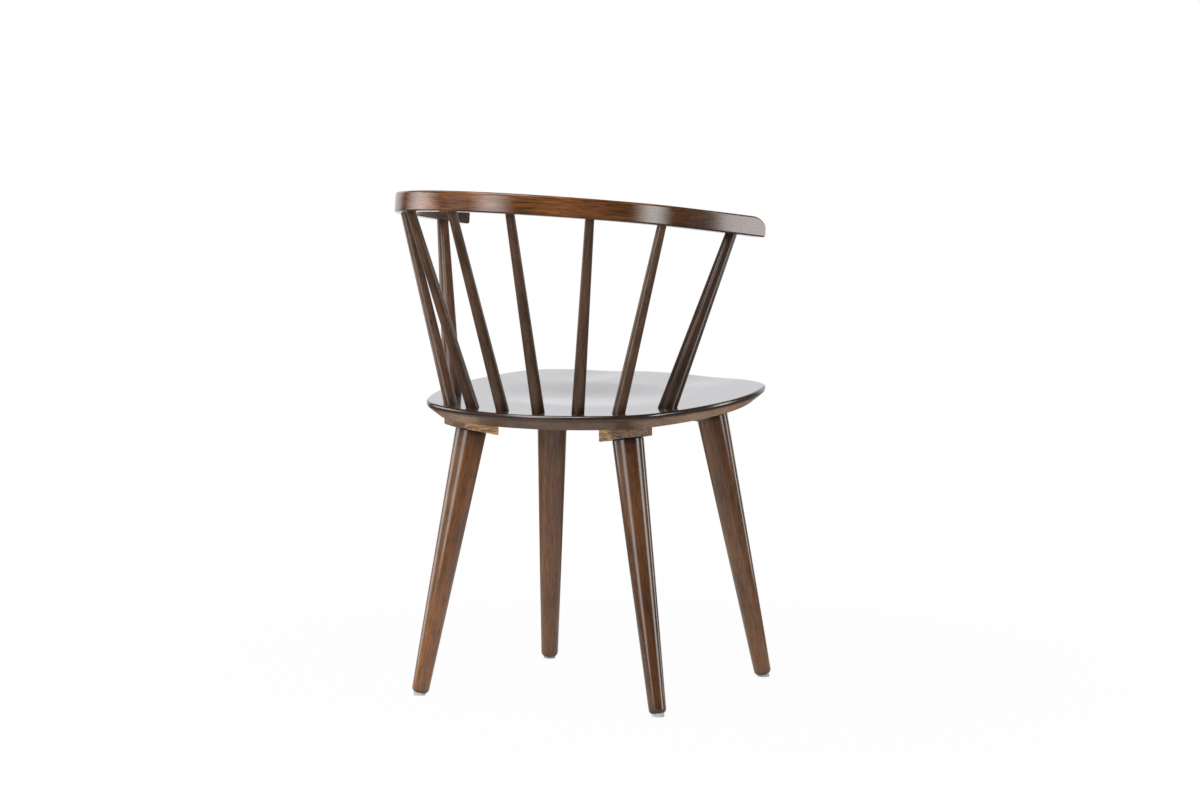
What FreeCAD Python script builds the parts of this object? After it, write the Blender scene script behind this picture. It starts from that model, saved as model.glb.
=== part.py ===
import FreeCAD, Part
import math
import os
from FreeCAD import Placement, Rotation, Vector

# Low-backed spindle armchair: saddled seat, bent bow rail on eight turned spindles, four splayed
# turned legs screwed to wedge blocks under the seat. Millimetres, +Z up, the front faces -Y,
# the sitter's left is +X. The origin is on the floor under the middle of the chair.

# Seat slab; its outline is four shallow bows joined by round corners
SEAT_HEIGHT = 458.0            # rim above the floor, over the origin
SEAT_TILT = 1.38               # degrees, front edge up
SEAT_THICKNESS = 24.0
SEAT_HALF_WIDTH = 237.5
SEAT_WIDEST_Y = -88.0
SEAT_BACK_Y = 196.5
SEAT_FRONT_Y = -306.8
BACK_BOW_RADIUS = 280.0
SIDE_BOW_RADIUS = 465.0
FRONT_BOW_RADIUS = 475.0
REAR_CORNER_RADIUS = 124.0
FRONT_CORNER_RADIUS = 80.0
SEAT_BAND = 8.0                # upright part of the edge, above the underside bevel
SEAT_BEVEL_INSET = 20.0
SEAT_EDGE_ROUND = 3.0
SEAT_ARRIS_ROUND = 9.5         # where the band meets the bevel

# Saddle: a shallow hollow with two thigh grooves that run out over the front edge
HOLLOW_DEPTH = 6.0
SADDLE_LIP = 0.5               # the cutter's height over the flat rim, where it cuts nothing
HOLLOW_CENTRE_Y = -40.0
HOLLOW_HALF_WIDTH = 190.0
HOLLOW_HALF_LENGTH = 150.0
THIGH_DEPTH = 1.6
THIGH_X = 90.0
THIGH_HALF_WIDTH = 85.0
THIGH_START_Y = -110.0
THIGH_FULL_Y = -260.0
SADDLE_SPANS = 10              # surface patches across the seat, each way
SADDLE_MARGIN = 30.0           # how far the surface runs past the outline

# Bow rail, bent in one piece and tilted down towards its arms
RAIL_RISE = 262.5              # underside above the seat's rim, over the origin
RAIL_TILT = 8.1                # degrees, back up
RAIL_BACK_Y = 297.4            # middle line at the back, in the rail's own plane
BACK_BEND_RADIUS = 202.6
BACK_BEND_TURN = 31.7          # degrees turned at the end of the tighter back bend, each side
SIDE_BEND_RADIUS = 265.7
SIDE_BEND_TURN = 80.0          # degrees turned where a side bend eases into its arm
ARM_BOW_RADIUS = 2413.0        # the arms' long gentle curve
ARM_END_TURN = 84.98           # degrees turned at an arm's front end, which leaves the arms flared
RAIL_THICKNESS = 26.0
RAIL_DEPTH = 30.2
ARM_NOSE_LENGTH = 37.0         # each arm ends in a quarter ellipse, seen from the side
ARM_NOSE_DROP = 19.0
ARM_BOTTOM_ROUND = 4.0
RAIL_EDGE_ROUND = 3.0

# Spindles, in mirrored pairs from the middle of the back outwards, and the thicker arm posts
SPINDLE_BASE_DIAMETER = 19.6
SPINDLE_TOP_DIAMETER = 13.9
POST_BASE_DIAMETER = 28.0
POST_TOP_DIAMETER = 17.6
FOOT_INSET = 28.0              # foot centres in from the back bow's circle
FOOT_PITCH = 13.85             # degrees between feet, round that circle
HEAD_TURNS = (13.9, 43.7, 70.5)  # degrees the rail has turned at each head, from the middle
POST_INSET = 33.0              # post's foot in from the side bow
POST_FOOT_ANGLE = 17.7         # degrees along the side bow from its widest point
POST_SETBACK = 78.6            # post's head from the arm's front end

# Turned tenons glued into blind sockets
SPINDLE_BASE_TENON = 13.0
SPINDLE_TOP_TENON = 9.0
POST_BASE_TENON = 18.0
POST_TOP_TENON = 13.0
BASE_TENON_LENGTH = 15.0
TOP_TENON_LENGTH = 12.0
SOCKET_CLEARANCE = 0.1         # on the radius
SOCKET_END_GAP = 0.5

# Legs: straight taper, each square-cut at both ends
REAR_TOP_INSET = (103.7, 121.2)  # leg axis at its top, in from the seat's side and back
FRONT_TOP_INSET = (98.6, 109.1)  # in from the seat's side and front
REAR_SPLAY = (71.0, 38.3)      # out to the side and back, from the top to the floor
FRONT_SPLAY = (50.1, 83.9)     # out to the side and forward
LEG_TOP_DIAMETER = 48.0
LEG_FOOT_DIAMETER = 26.0
LEG_TOP_CHAMFER = 2.0
LEG_END_DIAMETER = 19.5        # flat end inside the rounded foot
LEG_END_ROUND = 6.5

# Wedge blocks between the seat and the legs
REAR_BLOCK_DROP = 21.0         # seat underside to leg top, at the leg's axis
FRONT_BLOCK_DROP = 18.0
BLOCK_LENGTH = 82.0            # along the direction of splay
BLOCK_WIDTH = 50.0
BLOCK_CLIP = 13.0              # clipped outer corners
BLOCK_CHAMFER = 1.0            # eased edge round the underside

# Floor glides with their nails
GLIDE_DIAMETER = 18.5
GLIDE_THICKNESS = 4.5          # on the leg's axis
NAIL_DIAMETER = 2.4
NAIL_LENGTH = 18.0
NAIL_HEAD_DIAMETER = 6.0
NAIL_HEAD_THICKNESS = 1.2
NAIL_HEAD_RECESS = 1.8         # head above the floor, on the leg's axis

# Leg hardware
BOLT_DIAMETER = 8.0
BOLT_IN_LEG = 35.0
BOLT_IN_BLOCK = 12.0
INSERT_DIAMETER = 12.0
INSERT_LENGTH = 13.0
SCREW_DIAMETER = 4.0
SCREW_HEAD_DIAMETER = 8.0
SCREW_HEAD_THICKNESS = 2.6
SCREW_GRIP = 7.0               # block left between the head and the seat
SCREW_IN_SEAT = 11.0
SCREW_SPACING = 64.0
HOLE_CLEARANCE = 0.1           # on the radius, round every fastener

# Working sizes, larger than anything they trim
TRIM_SIZE = 1200.0
OVERRUN = 14.0                 # length cut past a face so that a trim is clean
SLACK = 0.01                   # allowed when an edge is picked by its place

SEAT_FRAME = Placement(Vector(0, 0, SEAT_HEIGHT), Rotation(Vector(1, 0, 0), -SEAT_TILT))
RAIL_FRAME = Placement(Vector(0, 0, SEAT_HEIGHT + RAIL_RISE), Rotation(Vector(1, 0, 0), RAIL_TILT))

# The rail's bends from the middle of the back outwards: radius, and degrees turned at its end
BENDS = (
    (BACK_BEND_RADIUS, BACK_BEND_TURN),
    (SIDE_BEND_RADIUS, SIDE_BEND_TURN),
    (ARM_BOW_RADIUS, ARM_END_TURN),
)


def save(node, shape):
    """Write one node's solids."""
    shape.exportStep(os.path.join("parts", node + ".step"))


def mirrored(shape):
    """The same piece on the other side of the chair."""
    return shape.mirror(Vector(), Vector(1, 0, 0))


def placed(shape, frame):
    """A copy of a shape moved from a local frame to the chair's frame."""
    copy = shape.copy()
    copy.Placement = frame.multiply(copy.Placement)
    return copy


def half_space(frame, above):
    """A block that fills one side of a frame's XY plane."""
    corner = Vector(-TRIM_SIZE / 2, -TRIM_SIZE / 2, 0 if above else -TRIM_SIZE)
    return placed(Part.makeBox(TRIM_SIZE, TRIM_SIZE, TRIM_SIZE, corner), frame)


def rod(radius, start, along, from_length, to_length):
    """A cylinder round an axis, between two lengths measured from a start point."""
    return Part.makeCylinder(radius, to_length - from_length, start + along * from_length, along)


def revolved(half_profile):
    """A solid turned about local Z from a closed profile of edges in the XZ plane."""
    return Part.Face(Part.Wire(half_profile)).revolve(Vector(), Vector(0, 0, 1), 360)


def polyline(points):
    """Straight edges through points given as (radius, height)."""
    vectors = [Vector(r, 0, h) for r, h in points]
    return [Part.makeLine(a, b) for a, b in zip(vectors, vectors[1:])]


def corner_centre(centre_a, radius_a, centre_b, radius_b, radius, side_y):
    """Centre of a round corner inside two bows; side_y picks the back (+1) or front (-1) one."""
    reach_a = radius_a - radius
    reach_b = radius_b - radius
    gap = centre_b - centre_a
    along = (gap.Length ** 2 + reach_a ** 2 - reach_b ** 2) / (2 * gap.Length)
    across = math.sqrt(reach_a ** 2 - along ** 2)
    unit = gap / gap.Length
    normal = Vector(-unit.y, unit.x, 0)
    choices = [centre_a + unit * along + normal * (across * s) for s in (1, -1)]
    return max(choices, key=lambda c: c.y * side_y + c.x)


def heading(from_point, to_point):
    """Angle of the line between two points, in radians from +X."""
    return math.atan2(to_point.y - from_point.y, to_point.x - from_point.x)


def seat_arcs():
    """The right half of the seat's outline: (centre, radius, first angle, last angle) by name."""
    back = Vector(0, SEAT_BACK_Y - BACK_BOW_RADIUS, 0)
    side = Vector(SEAT_HALF_WIDTH - SIDE_BOW_RADIUS, SEAT_WIDEST_Y, 0)
    front = Vector(0, SEAT_FRONT_Y + FRONT_BOW_RADIUS, 0)
    rear_corner = corner_centre(side, SIDE_BOW_RADIUS, back, BACK_BOW_RADIUS, REAR_CORNER_RADIUS, 1)
    front_corner = corner_centre(side, SIDE_BOW_RADIUS, front, FRONT_BOW_RADIUS, FRONT_CORNER_RADIUS, -1)
    to_back = heading(back, rear_corner)
    to_rear_side = heading(side, rear_corner)
    to_front_side = heading(side, front_corner)
    to_front = heading(front, front_corner)
    return {
        "front_corner": (front_corner, FRONT_CORNER_RADIUS, to_front, to_front_side),
        "side": (side, SIDE_BOW_RADIUS, to_front_side, to_rear_side),
        "rear_corner": (rear_corner, REAR_CORNER_RADIUS, to_rear_side, to_back),
        "back": (back, BACK_BOW_RADIUS, to_back, math.pi - to_back),
        "front": (front, FRONT_BOW_RADIUS, -math.pi - to_front, to_front),
    }


def arc_edge(centre, radius, first, last, height):
    """One arc of an outline at a given height."""
    circle = Part.Circle(Vector(centre.x, centre.y, height), Vector(0, 0, 1), radius)
    return Part.Arc(circle, first, last).toShape()


def seat_outline(inset, height):
    """The seat's closed outline, drawn in by an inset."""
    arcs = seat_arcs()
    edges = []
    for name in ("front_corner", "side", "rear_corner", "back"):
        centre, radius, first, last = arcs[name]
        edges.append(arc_edge(centre, radius - inset, first, last, height))
    for name in ("rear_corner", "side", "front_corner"):
        centre, radius, first, last = arcs[name]
        opposite = Vector(-centre.x, centre.y, 0)
        edges.append(arc_edge(opposite, radius - inset, math.pi - last, math.pi - first, height))
    centre, radius, first, last = arcs["front"]
    edges.append(arc_edge(centre, radius - inset, first, last, height))
    return Part.Wire(edges)


def outline_point(name, angle, inset):
    """A point on one arc of the outline, drawn in by an inset."""
    centre, radius, first, last = seat_arcs()[name]
    return centre + Vector(math.cos(angle), math.sin(angle), 0) * (radius - inset)


def swell(t):
    """A smooth bump: 1 at t = 0, falling to 0 at t = 1 and beyond, either way."""
    return math.cos(math.pi / 2 * min(1.0, abs(t))) ** 2


def saddle_height(x, y):
    """Height of the saddle's cutter against the flat rim: a little above it, and below in the hollow."""
    hollow = swell(x / HOLLOW_HALF_WIDTH) * swell((y - HOLLOW_CENTRE_Y) / HOLLOW_HALF_LENGTH)
    run_in = (THIGH_START_Y - y) / (THIGH_START_Y - THIGH_FULL_Y)
    groove = swell((abs(x) - THIGH_X) / THIGH_HALF_WIDTH) * swell(1 - max(0.0, min(1.0, run_in)))
    return SADDLE_LIP - (HOLLOW_DEPTH + SADDLE_LIP) * hollow - (THIGH_DEPTH + SADDLE_LIP) * groove


def even_poles(low, high, spans):
    """Pole places of a clamped cubic with even knots, so that the surface is even in x and y."""
    knots = [0] * 3 + list(range(spans + 1)) + [spans] * 3
    places = [sum(knots[i + 1:i + 4]) / (3 * spans) for i in range(spans + 3)]
    return [low + (high - low) * place for place in places]


def saddle_cutter():
    """What the saddle takes off a flat top: a smooth sheet over the seat, carried upwards."""
    reach = SEAT_HALF_WIDTH + SADDLE_MARGIN
    xs = even_poles(-reach, reach, SADDLE_SPANS)
    ys = even_poles(SEAT_FRONT_Y - SADDLE_MARGIN, SEAT_BACK_Y + SADDLE_MARGIN, SADDLE_SPANS)
    poles = [[Vector(x, y, saddle_height(x, y)) for y in ys] for x in xs]
    knots = [i / SADDLE_SPANS for i in range(SADDLE_SPANS + 1)]
    counts = [4] + [1] * (SADDLE_SPANS - 1) + [4]
    sheet = Part.BSplineSurface()
    sheet.buildFromPolesMultsKnots(poles, counts, counts, knots, knots, False, False, 3, 3)
    return sheet.toShape().extrude(Vector(0, 0, SEAT_THICKNESS))


def seat_slab():
    """The seat before its holes, in its own frame with the flat rim at z = 0."""
    sections = [
        seat_outline(SEAT_BEVEL_INSET, -SEAT_THICKNESS),
        seat_outline(0, -SEAT_BAND),
        seat_outline(0, 0),
    ]
    slab = Part.makeLoft(sections, True, True)
    arris = [e for e in slab.Edges if abs(e.BoundBox.ZMin + SEAT_BAND) < SLACK and e.BoundBox.ZLength < SLACK]
    slab = slab.makeFillet(SEAT_ARRIS_ROUND, arris)
    top_face = max(slab.Faces, key=lambda f: f.CenterOfMass.z)
    return slab.makeFillet(SEAT_EDGE_ROUND, top_face.OuterWire.Edges).cut(saddle_cutter())


def outward(turn):
    """The direction out of the bow where it has turned by some degrees from the middle of the back."""
    return Vector(math.sin(math.radians(turn)), math.cos(math.radians(turn)), 0)


def rail_point(turn, offset):
    """A point beside the rail's middle line, where it has turned by some degrees from the middle of the back."""
    radius, last = BENDS[0]
    centre = Vector(0, RAIL_BACK_Y - radius, 0)
    for next_radius, next_last in BENDS[1:]:
        if abs(turn) <= last:
            break
        centre += outward(math.copysign(last, turn)) * (radius - next_radius)
        radius, last = next_radius, next_last
    return centre + outward(turn) * (radius + offset)


def arm_point(setback, offset):
    """A point beside the +X arm's middle line, measured back from its front end."""
    return rail_point(ARM_END_TURN - math.degrees(setback / ARM_BOW_RADIUS), offset)


def bow_edges(offset):
    """One side of the bow, from the +X arm's front end round the back to the -X arm's."""
    turns = [last for radius, last in BENDS]
    stops = turns[::-1] + [-turn for turn in turns]
    edges = []
    for a, b in zip(stops, stops[1:]):
        through = [rail_point(turn, offset) for turn in (a, (a + b) / 2, b)]
        edges.append(Part.Arc(*through).toShape())
    return edges


def arm_nose():
    """What the rounded nose takes off the +X arm's square end, from its top down."""
    end = arm_point(0, -RAIL_THICKNESS)
    forward = Vector(0, 0, -1).cross(outward(ARM_END_TURN))
    up = Vector(0, 0, 1)
    centre = end - forward * ARM_NOSE_LENGTH + up * (RAIL_DEPTH - ARM_NOSE_DROP)
    front = centre + forward * ARM_NOSE_LENGTH
    top = centre + up * ARM_NOSE_DROP
    curve = Part.ArcOfEllipse(Part.Ellipse(front, top, centre), 0, math.pi / 2).toShape()
    corners = [top, top + up * OVERRUN, top + up * OVERRUN + forward * (ARM_NOSE_LENGTH + OVERRUN),
               front + forward * OVERRUN, front]
    outline = Part.Wire([curve] + [Part.makeLine(a, b) for a, b in zip(corners, corners[1:])])
    return Part.Face(outline).extrude(outward(ARM_END_TURN) * (2 * RAIL_THICKNESS))


def bow_rail():
    """The rail before its sockets, in its own frame with the underside at z = 0."""
    outer = bow_edges(RAIL_THICKNESS / 2)
    inner = bow_edges(-RAIL_THICKNESS / 2)
    ends = [Part.makeLine(outer[0].Vertexes[0].Point, inner[0].Vertexes[0].Point),
            Part.makeLine(outer[-1].Vertexes[1].Point, inner[-1].Vertexes[1].Point)]
    band = Part.Face(Part.Wire(Part.__sortEdges__(outer + inner + ends)))
    rail = band.extrude(Vector(0, 0, RAIL_DEPTH)).cut([arm_nose(), mirrored(arm_nose())])
    corners = [e for e in rail.Edges
               if e.Length < RAIL_THICKNESS + SLACK and e.CenterOfMass.y < 0 and e.BoundBox.ZMax < SLACK]
    rail = rail.makeFillet(ARM_BOTTOM_ROUND, corners)
    walls = [f for f in rail.Faces
             if isinstance(f.Surface, Part.Cylinder) and abs(f.Surface.Axis.z) > 1 - SLACK]
    along = [e for f in walls for e in f.Edges if e.BoundBox.ZLength < SLACK]
    return rail.makeFillet(RAIL_EDGE_ROUND, along)


def spindle_ends():
    """Foot and head of every spindle at +X: (name, foot, head) in the chair's frame."""
    ends = []
    for index, turn in enumerate(HEAD_TURNS):
        angle = math.radians(90 - (index + 0.5) * FOOT_PITCH)
        foot = SEAT_FRAME.multVec(outline_point("back", angle, FOOT_INSET))
        head = RAIL_FRAME.multVec(rail_point(turn, 0))
        ends.append(("spindle_%d" % (index + 1), foot, head))
    post_foot = SEAT_FRAME.multVec(outline_point("side", math.radians(POST_FOOT_ANGLE), POST_INSET))
    post_head = RAIL_FRAME.multVec(arm_point(POST_SETBACK, 0))
    ends.append(("arm_post", post_foot, post_head))
    return ends


def is_post(name):
    return name.startswith("arm_post")


def tenon_diameters(name):
    """Tenon diameters at the foot and the head."""
    if is_post(name):
        return POST_BASE_TENON, POST_TOP_TENON
    return SPINDLE_BASE_TENON, SPINDLE_TOP_TENON


def turned_spindle(name, foot, head):
    """A tapered spindle trimmed to the seat's rim and the rail's underside, with both tenons."""
    base, top = SPINDLE_BASE_DIAMETER, SPINDLE_TOP_DIAMETER
    if is_post(name):
        base, top = POST_BASE_DIAMETER, POST_TOP_DIAMETER
    length = (head - foot).Length
    along = (head - foot) / length
    grow = (base - top) / 2 / length * OVERRUN
    taper = Part.makeCone(base / 2 + grow, top / 2 - grow, length + 2 * OVERRUN,
                          foot - along * OVERRUN, along)
    body = taper.cut(half_space(SEAT_FRAME, False)).cut(half_space(RAIL_FRAME, True))
    base_tenon, top_tenon = tenon_diameters(name)
    lower = rod(base_tenon / 2, foot, along, -BASE_TENON_LENGTH, OVERRUN)
    upper = rod(top_tenon / 2, head, along, -OVERRUN, TOP_TENON_LENGTH)
    return body.fuse([lower, upper]).removeSplitter()


def sockets(at_seat):
    """Blind sockets for one end of every spindle, both sides of the chair."""
    tools = []
    for name, foot, head in spindle_ends():
        along = (head - foot).normalize()
        base_tenon, top_tenon = tenon_diameters(name)
        if at_seat:
            tool = rod(base_tenon / 2 + SOCKET_CLEARANCE, foot, along,
                       -BASE_TENON_LENGTH - SOCKET_END_GAP, OVERRUN)
        else:
            tool = rod(top_tenon / 2 + SOCKET_CLEARANCE, head, along,
                       -OVERRUN, TOP_TENON_LENGTH + SOCKET_END_GAP)
        tools += [tool, mirrored(tool)]
    return tools


def underside_height(x, y):
    """Height of the seat's underside over a point of the floor."""
    under = SEAT_FRAME.multVec(Vector(0, 0, -SEAT_THICKNESS))
    normal = SEAT_FRAME.Rotation.multVec(Vector(0, 0, 1))
    return under.z - (normal.x * (x - under.x) + normal.y * (y - under.y)) / normal.z


class LegSite:
    """Where one leg at +X stands: its axis, its top and the frames of its block."""

    def __init__(self, name, edge_y, outward_y, inset, splay, drop):
        self.name = name
        x = SEAT_HALF_WIDTH - inset[0]
        y = edge_y - outward_y * inset[1]
        self.top = Vector(x, y, underside_height(x, y) - drop)
        self.foot = Vector(x + splay[0], y + outward_y * splay[1], 0)
        self.length = (self.top - self.foot).Length
        self.axis = (self.top - self.foot) / self.length
        self.turn = Rotation(Vector(0, 0, 1), self.axis)
        heading_out = math.degrees(math.atan2(outward_y * splay[1], splay[0]))
        block_turn = SEAT_FRAME.Rotation.multiply(Rotation(Vector(0, 0, 1), heading_out))
        self.block_frame = Placement(Vector(x, y, underside_height(x, y)), block_turn)

    def screw_points(self):
        """Where the block's screws cross the seat's underside."""
        return [self.block_frame.multVec(Vector(s * SCREW_SPACING / 2, 0, 0)) for s in (-1, 1)]


LEG_SITES = [
    LegSite("rear", SEAT_BACK_Y, 1, REAR_TOP_INSET, REAR_SPLAY, REAR_BLOCK_DROP),
    LegSite("front", SEAT_FRONT_Y, -1, FRONT_TOP_INSET, FRONT_SPLAY, FRONT_BLOCK_DROP),
]
UPRIGHT = SEAT_FRAME.Rotation.multVec(Vector(0, 0, 1))


def foot_round(end_radius, start, side_radius, shoulder):
    """An arc from the leg's flat end up to its side, upright where it meets the side."""
    width = side_radius - end_radius
    height = shoulder - start
    radius = (width ** 2 + height ** 2) / (2 * width)
    half = math.asin(height / radius) / 2
    centre = Vector(side_radius - radius, 0, shoulder)
    middle = centre + Vector(math.cos(half), 0, -math.sin(half)) * radius
    return Part.Arc(Vector(end_radius, 0, start), middle, Vector(side_radius, 0, shoulder)).toShape()


def turned_leg(site):
    """A tapered leg with a rounded foot, a bolt hole in its top and a nail hole in its end."""
    slope = (LEG_TOP_DIAMETER - LEG_FOOT_DIAMETER) / 2 / site.length
    start = GLIDE_THICKNESS
    shoulder = start + LEG_END_ROUND
    shoulder_radius = LEG_FOOT_DIAMETER / 2 + slope * shoulder
    end_radius = LEG_END_DIAMETER / 2
    neck = site.length - LEG_TOP_CHAMFER
    profile = polyline([(0, site.length), (0, start), (end_radius, start)])
    profile.append(foot_round(end_radius, start, shoulder_radius, shoulder))
    profile += polyline([(shoulder_radius, shoulder), (LEG_TOP_DIAMETER / 2 - slope * LEG_TOP_CHAMFER, neck),
                         (LEG_TOP_DIAMETER / 2 - LEG_TOP_CHAMFER, site.length), (0, site.length)])
    leg = placed(revolved(profile), Placement(site.foot, site.turn))
    bolt_hole = rod(BOLT_DIAMETER / 2 + HOLE_CLEARANCE, site.top, site.axis,
                    -BOLT_IN_LEG - SOCKET_END_GAP, OVERRUN)
    nail_hole = rod(NAIL_DIAMETER / 2 + HOLE_CLEARANCE, site.foot, site.axis,
                    0, NAIL_HEAD_RECESS + NAIL_LENGTH + SOCKET_END_GAP)
    return leg.cut([bolt_hole, nail_hole])


def wedge_block(site):
    """A block with clipped outer corners, its underside cut square to the leg."""
    end = BLOCK_LENGTH / 2
    side = BLOCK_WIDTH / 2
    corners = [(-end, -side), (end - BLOCK_CLIP, -side), (end, BLOCK_CLIP - side),
               (end, side - BLOCK_CLIP), (end - BLOCK_CLIP, side), (-end, side), (-end, -side)]
    plan = Part.Face(Part.makePolygon([Vector(x, y, 0) for x, y in corners]))
    depth = BLOCK_LENGTH
    block = placed(plan.extrude(Vector(0, 0, -depth)), site.block_frame)
    block = block.cut(half_space(Placement(site.top, site.turn), False))
    underside = min(block.Faces, key=lambda f: f.CenterOfMass.dot(site.axis))
    block = block.makeChamfer(BLOCK_CHAMFER, underside.OuterWire.Edges)
    holes = [rod(INSERT_DIAMETER / 2 + HOLE_CLEARANCE, site.top, site.axis,
                 -OVERRUN, INSERT_LENGTH + SOCKET_END_GAP)]
    for point in site.screw_points():
        holes.append(rod(SCREW_DIAMETER / 2 + HOLE_CLEARANCE, point, UPRIGHT, -depth, OVERRUN))
        holes.append(rod(SCREW_HEAD_DIAMETER / 2 + HOLE_CLEARANCE, point, UPRIGHT, -depth, -SCREW_GRIP))
    return block.cut(holes)


def floor_glide(site):
    """A hard disc under the leg's square end, worn flat to the floor, with a recess for its nail."""
    disc = rod(GLIDE_DIAMETER / 2, site.foot, site.axis, -OVERRUN, GLIDE_THICKNESS)
    disc = disc.cut(half_space(Placement(), False))
    hole = rod(NAIL_DIAMETER / 2 + HOLE_CLEARANCE, site.foot, site.axis, -OVERRUN, OVERRUN)
    recess_top = NAIL_HEAD_RECESS + NAIL_HEAD_THICKNESS
    recess = rod(NAIL_HEAD_DIAMETER / 2 + HOLE_CLEARANCE, site.foot, site.axis, -OVERRUN, recess_top)
    return disc.cut([hole, recess])


def glide_nail(site):
    head = rod(NAIL_HEAD_DIAMETER / 2, site.foot, site.axis,
               NAIL_HEAD_RECESS, NAIL_HEAD_RECESS + NAIL_HEAD_THICKNESS)
    shank = rod(NAIL_DIAMETER / 2, site.foot, site.axis, NAIL_HEAD_RECESS, NAIL_HEAD_RECESS + NAIL_LENGTH)
    return head.fuse(shank).removeSplitter()


def hanger_bolt(site):
    return rod(BOLT_DIAMETER / 2, site.top, site.axis, -BOLT_IN_LEG, BOLT_IN_BLOCK)


def threaded_insert(site):
    sleeve = rod(INSERT_DIAMETER / 2, site.top, site.axis, 0, INSERT_LENGTH)
    return sleeve.cut(rod(BOLT_DIAMETER / 2 + HOLE_CLEARANCE, site.top, site.axis,
                          -OVERRUN, INSERT_LENGTH + OVERRUN))


def block_screws(site):
    """The screws that hold one block up against the seat."""
    screws = []
    for point in site.screw_points():
        shank = rod(SCREW_DIAMETER / 2, point, UPRIGHT, -SCREW_GRIP, SCREW_IN_SEAT)
        head = rod(SCREW_HEAD_DIAMETER / 2, point, UPRIGHT, -SCREW_GRIP - SCREW_HEAD_THICKNESS, -SCREW_GRIP)
        screws.append(shank.fuse(head).removeSplitter())
    return screws


def screw_pilots():
    """Blind holes in the seat's underside for the block screws."""
    tools = []
    for site in LEG_SITES:
        for point in site.screw_points():
            tool = rod(SCREW_DIAMETER / 2 + HOLE_CLEARANCE, point, UPRIGHT,
                       -OVERRUN, SCREW_IN_SEAT + SOCKET_END_GAP)
            tools += [tool, mirrored(tool)]
    return tools


def save_pair(node, shape):
    """Write a piece and its mirror image as left (+X) and right (-X) nodes."""
    save(node + "_left", shape)
    save(node + "_right", mirrored(shape))


def save_group(node, solids):
    """Write a set of like fasteners, with their mirror images, as one node."""
    save(node, Part.makeCompound(solids + [mirrored(s) for s in solids]))


def main():
    os.makedirs("parts", exist_ok=True)
    save("seat", placed(seat_slab(), SEAT_FRAME).cut(sockets(True) + screw_pilots()))
    save("back_rail", placed(bow_rail(), RAIL_FRAME).cut(sockets(False)))
    for name, foot, head in spindle_ends():
        save_pair(name, turned_spindle(name, foot, head))
    for site in LEG_SITES:
        save_pair("leg_" + site.name, turned_leg(site))
        save_pair("leg_block_" + site.name, wedge_block(site))
        save_pair("glide_" + site.name, floor_glide(site))
    save_group("glide_nails", [glide_nail(site) for site in LEG_SITES])
    save_group("hanger_bolts", [hanger_bolt(site) for site in LEG_SITES])
    save_group("threaded_inserts", [threaded_insert(site) for site in LEG_SITES])
    save_group("block_screws", [screw for site in LEG_SITES for screw in block_screws(site)])


main()
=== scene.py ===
import math

import bpy
import numpy as np
from bpy.props import FloatProperty, FloatVectorProperty, PointerProperty
from bpy.types import Operator, Panel, PropertyGroup
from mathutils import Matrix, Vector


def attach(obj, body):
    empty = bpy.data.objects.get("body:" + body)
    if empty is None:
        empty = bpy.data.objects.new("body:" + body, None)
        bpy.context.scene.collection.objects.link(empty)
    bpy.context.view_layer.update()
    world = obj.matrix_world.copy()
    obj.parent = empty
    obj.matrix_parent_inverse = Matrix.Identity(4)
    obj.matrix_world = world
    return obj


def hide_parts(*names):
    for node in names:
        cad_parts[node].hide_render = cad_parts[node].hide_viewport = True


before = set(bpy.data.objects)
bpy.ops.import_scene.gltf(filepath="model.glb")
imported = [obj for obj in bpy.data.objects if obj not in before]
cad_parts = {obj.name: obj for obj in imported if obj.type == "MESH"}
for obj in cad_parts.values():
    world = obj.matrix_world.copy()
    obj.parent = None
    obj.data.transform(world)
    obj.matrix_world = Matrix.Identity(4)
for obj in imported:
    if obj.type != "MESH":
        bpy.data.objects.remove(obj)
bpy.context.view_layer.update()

bl_info = {
    "name": "Spindle Armchair",
    "version": (1, 0, 0),
    "blender": (4, 5, 0),
    "location": "View3D > Sidebar > Armchair",
    "description": "Surfaces and finishes of a low spindle-back armchair",
    "category": "Object",
}

SIDES = (("left", 1.0), ("right", -1.0))
UP = np.array([0.0, 0.0, 1.0])

# How finely surfaces are divided
ROUND_STEPS = 6  # steps round a small edge
RUN_SHARES = (0.04, 0.5, 0.96)  # points along a straight run of the seat's edge
FLAT_SHARES = (0.06, 0.35, 0.65, 0.94)  # points across a flat of the rail
OUTLINE_STEP, ARC_POINTS = 0.006, 12  # spacing of the seat's outline, and least points on an arc
SEAT_ROWS = (8, 44)  # rows inside the seat's edge, underneath and on top
SEAT_EYES = (0.02, 0.004)  # innermost of those rows, as shares of the outermost
RAIL_ROWS, NOSE_ROWS = 261, 19  # rows along the rail, and round each arm's nose
TURNED_ROWS, TURNED_COLUMNS = 48, 72  # rows along a turned piece, and columns round it
FOOT_ROWS = 13  # rows round a leg's foot
SHARP_ANGLE = math.radians(40)  # sharper edges are shaded as edges

# Where pieces lie in the wood that their grain is drawn from; turned pieces lie at multiples
RAIL_WOOD = np.array([0.31, 0.17, 0.0])
SPINDLE_WOOD = np.array([0.07, 0.13, 0.4])
LEG_WOOD = np.array([0.11, 0.05, 0.7])

# How light each turned piece is drawn beside the others; the legs' at the foot and at the top
SPINDLE_TONES = {"spindle_3_right": 1.5, "spindle_3_left": 1.6,
                 "arm_post_left": 1.7, "arm_post_right": 0.75}
LEG_TONES = {"leg_rear_left": (1.60, 0.82), "leg_rear_right": (0.58, 0.80),
             "leg_front_left": (1.16, 0.84), "leg_front_right": (1.22, 1.02)}
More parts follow.
